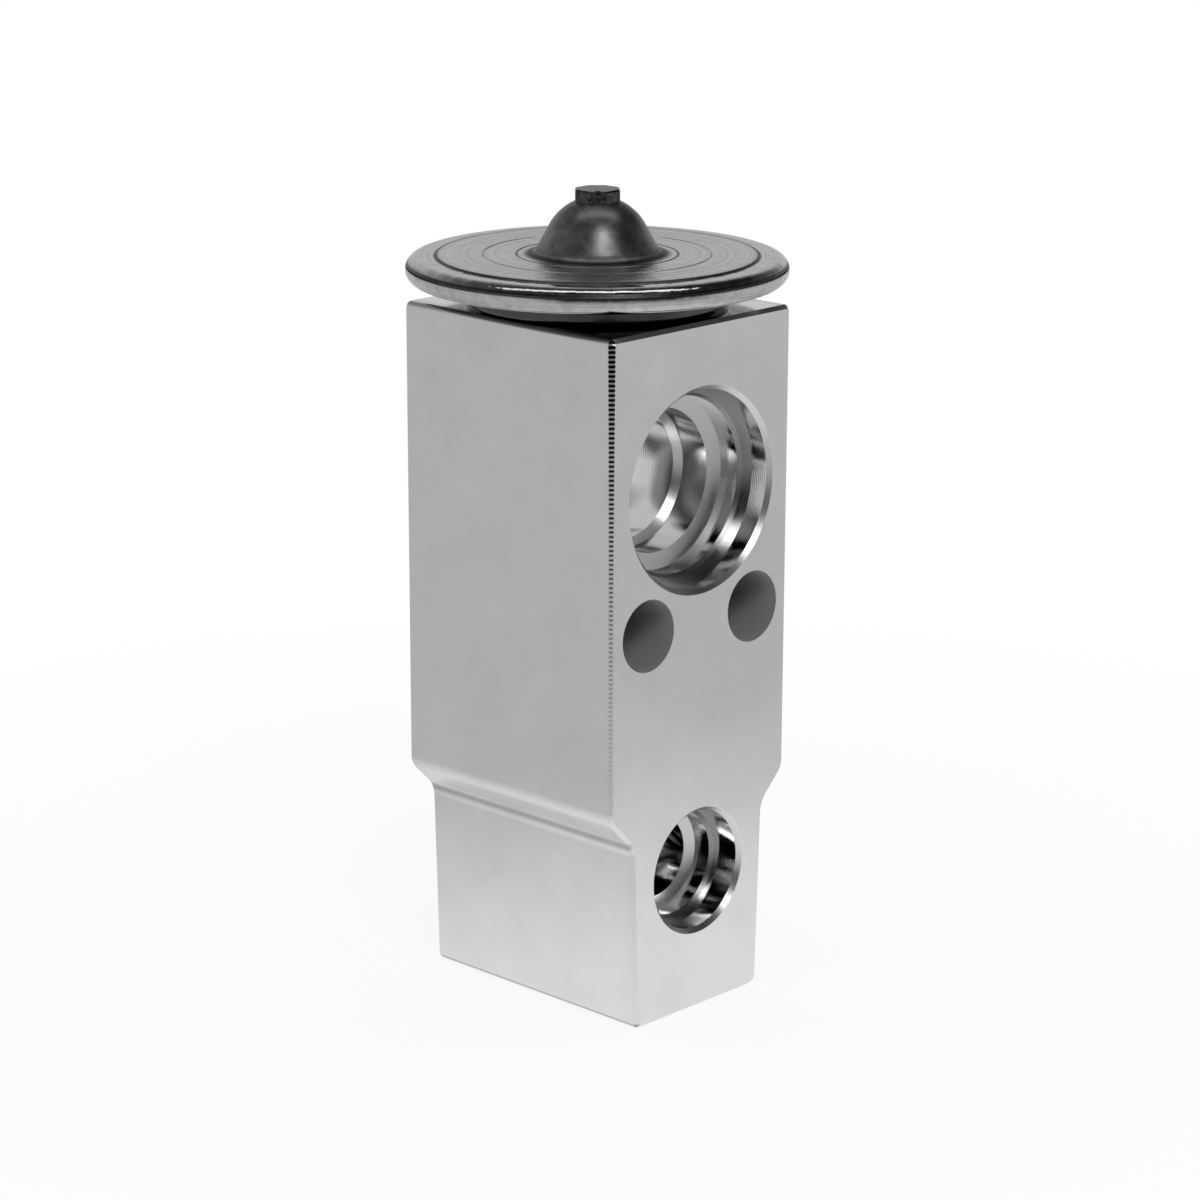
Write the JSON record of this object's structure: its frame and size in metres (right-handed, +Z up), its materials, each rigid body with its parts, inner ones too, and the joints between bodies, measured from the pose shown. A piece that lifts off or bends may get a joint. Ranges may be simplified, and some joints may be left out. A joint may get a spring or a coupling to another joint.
{
  "type": "block-type thermostatic expansion valve",
  "caption": "Aluminium valve block with round pipe sockets on two faces, a domed diaphragm power head on top and a sprung ball valve, rod and adjusting screw inside.",
  "frame": {"origin": "centre of the block's flat foot", "axes": "+Z up along the valve's axis to the power head, -Y out of the face with the suction outlet and the liquid inlet, X across the two bolt holes"},
  "size_m": [0.038, 0.038, 0.0821],
  "materials": {
    "extruded_aluminium": "drawn and machined, matt",
    "stainless_steel": "spun and welded, satin",
    "plug_steel": "cold headed, satin",
    "seal_rubber": "matt moulded",
    "spring_steel": "drawn and stamped",
    "turned_brass": "turned",
    "turned_aluminium": "turned",
    "ground_steel": "ground and polished"
  },
  "bodies": {
    "housing": {"valve_body": "extruded_aluminium", "power_head_lid": "stainless_steel", "charge_plug": "plug_steel", "power_head_base": "stainless_steel", "power_head_seal": "seal_rubber", "diaphragm": "spring_steel", "rod_seal": "seal_rubber", "seal_washer": "turned_brass", "push_nut": "spring_steel"},
    "valve_train": {"diaphragm_stop": "turned_brass", "sensing_rod": "turned_aluminium", "push_rod": "ground_steel", "valve_ball": "ground_steel", "ball_holder": "ground_steel", "damping_ring": "spring_steel"},
    "adjuster_slide": {"superheat_spring": "spring_steel", "adjusting_screw_seal": "seal_rubber"},
    "adjuster": {"adjusting_screw": "turned_aluminium"}
  },
  "joints": [
    {"name": "valve_lift", "type": "slide", "parent": "housing", "child": "valve_train", "axis": [0, 0, -1], "range_m": [0, 0.0008], "stiffness_N_per_m": 12000, "deforming": ["superheat_spring", "diaphragm"]},
    {"name": "adjuster_travel", "type": "slide", "parent": "housing", "child": "adjuster_slide", "axis": [0, 0, 1], "range_m": [-0.001, 0.001], "deforming": ["superheat_spring"]},
    {"name": "adjuster_turn", "type": "hinge", "parent": "adjuster_slide", "child": "adjuster", "pos_m": [0, 0, 0], "axis": [0, 0, 1], "range_deg": [-360, 360]}
  ],
  "couplings": [
    {"joint": "adjuster_turn", "follows": "adjuster_travel", "rad_per_m": 6283}
  ]
}
